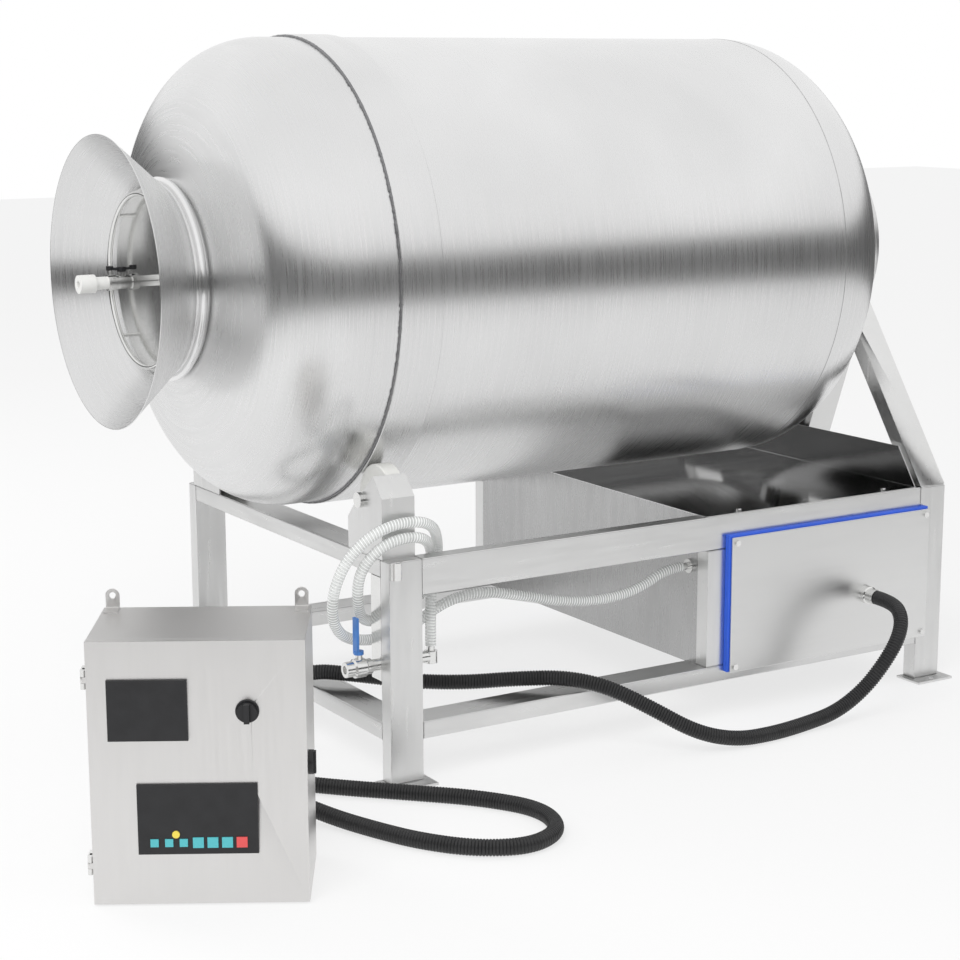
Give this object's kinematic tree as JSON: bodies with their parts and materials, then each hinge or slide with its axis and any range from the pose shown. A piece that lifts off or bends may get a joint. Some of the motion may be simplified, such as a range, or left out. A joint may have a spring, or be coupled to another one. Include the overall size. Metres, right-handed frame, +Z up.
{
  "type": "meat vacuum tumbler",
  "caption": "Stainless drum that turns on rollers and a rear bearing to tumble meat under vacuum, with a chain drive, a clamped-on lid, a hose line and a separate control cabinet.",
  "frame": {"origin": "middle of the four foot anchors, on the floor", "axes": "+Z up, -Y toward the drum's mouth, +X toward the control cabinet's side"},
  "size_m": [1.5685, 2.4407, 1.603],
  "materials": {
    "frame_steel": "satin",
    "sheet_steel": "fine brushed",
    "drum_steel": "satin, finely brushed round the axis",
    "machined_steel": "machined",
    "blue_rubber": "matte",
    "white_rubber": "matte",
    "white_nylon": "matte",
    "white_plastic": "gloss",
    "black_plastic": "matte",
    "blue_grip": "gloss",
    "grey_paint": "satin",
    "dark_screen": "gloss",
    "keypad_film": "semi gloss",
    "teal_key": "matte",
    "red_key": "matte",
    "yellow_key": "matte",
    "clear_pvc": "gloss",
    "black_conduit": "semi gloss",
    "chain_steel": "oiled",
    "cabinet_steel": "satin"
  },
  "bodies": {
    "base": {"frame_posts": "frame_steel", "foot_plates": "frame_steel", "side_rails": "frame_steel", "cross_rails": "frame_steel", "housing_front_wall": "sheet_steel", "housing_roof": "sheet_steel", "housing_floor": "sheet_steel", "cover_panels": "sheet_steel", "panel_gaskets": "blue_rubber", "cover_screws": "machined_steel", "stand_legs": "frame_steel", "chain_housing": "sheet_steel", "chain_housing_cap": "sheet_steel", "rear_bearing": "grey_paint", "gearbox": "grey_paint", "drive_motor": "grey_paint", "drive_chain": "chain_steel", "vacuum_pump": "grey_paint", "roller_brackets": "frame_steel", "roller_axles": "machined_steel", "hose_clip": "machined_steel", "ball_valve": "machined_steel", "ports_and_glands": "machined_steel", "cabinet_shell": "cabinet_steel", "cabinet_controls": "grey_paint", "cabinet_hinges": "machined_steel", "clear_hose": "clear_pvc", "conduit": "black_conduit"},
    "drum": {"drum_shell": "drum_steel", "front_head": "drum_steel", "rear_head": "drum_steel", "running_band": "drum_steel", "neck_ring": "drum_steel", "funnel": "drum_steel", "rear_shaft": "machined_steel", "drum_sprocket": "chain_steel", "mixing_baffles": "drum_steel"},
    "lid": {"lid_plate": "drum_steel", "lid_seal": "white_rubber", "lid_valve": "machined_steel", "hose_connector": "white_plastic"},
    "lid_valve_handle": {"lid_valve_handle": "black_plastic"},
    "roller_right": {"roller_right": "white_nylon"},
    "roller_left": {"roller_left": "white_nylon"},
    "drive_shaft": {"drive_shaft": "chain_steel"},
    "valve_lever": {"valve_lever": "blue_grip"},
    "cabinet_door": {"cabinet_door": "cabinet_steel", "operator_panel": "dark_screen", "keypad": "keypad_film", "knob_base": "black_plastic"},
    "speed_knob": {"speed_knob": "black_plastic"},
    "main_switch": {"main_switch": "black_plastic"},
    "key_set": {"key_set": "teal_key"},
    "key_down": {"key_down": "teal_key"},
    "key_up": {"key_up": "teal_key"},
    "key_run": {"key_run": "teal_key"},
    "key_pause": {"key_pause": "teal_key"},
    "key_reset": {"key_reset": "teal_key"},
    "key_stop": {"key_stop": "red_key"},
    "key_mode": {"key_mode": "yellow_key"}
  },
  "joints": [
    {"name": "drum_turn", "type": "hinge", "parent": "base", "child": "drum", "pos_m": [0, 0, 1.072], "axis": [0, -1, 0], "continuous": true},
    {"name": "roller_right_turn", "type": "hinge", "parent": "base", "child": "roller_right", "pos_m": [0.39791, -0.742, 0.61587], "axis": [0, -1, 0], "continuous": true},
    {"name": "roller_left_turn", "type": "hinge", "parent": "base", "child": "roller_left", "pos_m": [-0.39791, -0.742, 0.61587], "axis": [0, -1, 0], "continuous": true},
    {"name": "drive_shaft_turn", "type": "hinge", "parent": "base", "child": "drive_shaft", "pos_m": [0, 0.742, 0.45378], "axis": [0, -1, 0], "continuous": true},
    {"name": "lid_slide", "type": "slide", "parent": "drum", "child": "lid", "axis": [0, -1, 0], "range_m": [0, 0.25]},
    {"name": "lid_valve_turn", "type": "hinge", "parent": "lid", "child": "lid_valve_handle", "pos_m": [0, -1.167, 1.095], "axis": [0, 0, 1], "range_deg": [0, 90]},
    {"name": "ball_valve_turn", "type": "hinge", "parent": "base", "child": "valve_lever", "pos_m": [0.459, -0.8415, 0.29], "axis": [0, 0, 1], "range_deg": [0, 90]},
    {"name": "cabinet_door_swing", "type": "hinge", "parent": "base", "child": "cabinet_door", "pos_m": [0.78134, -1.5837, 0.25], "axis": [0, 0, -1], "range_deg": [0, 100]},
    {"name": "speed_knob_turn", "type": "hinge", "parent": "cabinet_door", "child": "speed_knob", "pos_m": [0.93925, -1.33019, 0.376], "axis": [0.866, -0.5, 0], "range_deg": [0, 270]},
    {"name": "main_switch_turn", "type": "hinge", "parent": "base", "child": "main_switch", "pos_m": [0.95403, -1.21459, 0.262], "axis": [0.5, 0.866, 0], "range_deg": [0, 90]},
    {"name": "key_set_press", "type": "slide", "parent": "cabinet_door", "child": "key_set", "axis": [-0.866, 0.5, 0], "range_m": [0, 0.0012], "stiffness_N_per_m": 600, "springref_m": -0.0003},
    {"name": "key_down_press", "type": "slide", "parent": "cabinet_door", "child": "key_down", "axis": [-0.866, 0.5, 0], "range_m": [0, 0.0012], "stiffness_N_per_m": 600, "springref_m": -0.0003},
    {"name": "key_up_press", "type": "slide", "parent": "cabinet_door", "child": "key_up", "axis": [-0.866, 0.5, 0], "range_m": [0, 0.0012], "stiffness_N_per_m": 600, "springref_m": -0.0003},
    {"name": "key_run_press", "type": "slide", "parent": "cabinet_door", "child": "key_run", "axis": [-0.866, 0.5, 0], "range_m": [0, 0.0012], "stiffness_N_per_m": 600, "springref_m": -0.0003},
    {"name": "key_pause_press", "type": "slide", "parent": "cabinet_door", "child": "key_pause", "axis": [-0.866, 0.5, 0], "range_m": [0, 0.0012], "stiffness_N_per_m": 600, "springref_m": -0.0003},
    {"name": "key_reset_press", "type": "slide", "parent": "cabinet_door", "child": "key_reset", "axis": [-0.866, 0.5, 0], "range_m": [0, 0.0012], "stiffness_N_per_m": 600, "springref_m": -0.0003},
    {"name": "key_stop_press", "type": "slide", "parent": "cabinet_door", "child": "key_stop", "axis": [-0.866, 0.5, 0], "range_m": [0, 0.0012], "stiffness_N_per_m": 600, "springref_m": -0.0003},
    {"name": "key_mode_press", "type": "slide", "parent": "cabinet_door", "child": "key_mode", "axis": [-0.866, 0.5, 0], "range_m": [0, 0.0012], "stiffness_N_per_m": 600, "springref_m": -0.0003}
  ],
  "couplings": [
    {"joint": "roller_right_turn", "follows": "drum_turn", "ratio": -7.1757},
    {"joint": "roller_left_turn", "follows": "drum_turn", "ratio": -7.1757},
    {"joint": "drive_shaft_turn", "follows": "drum_turn", "ratio": 4}
  ]
}
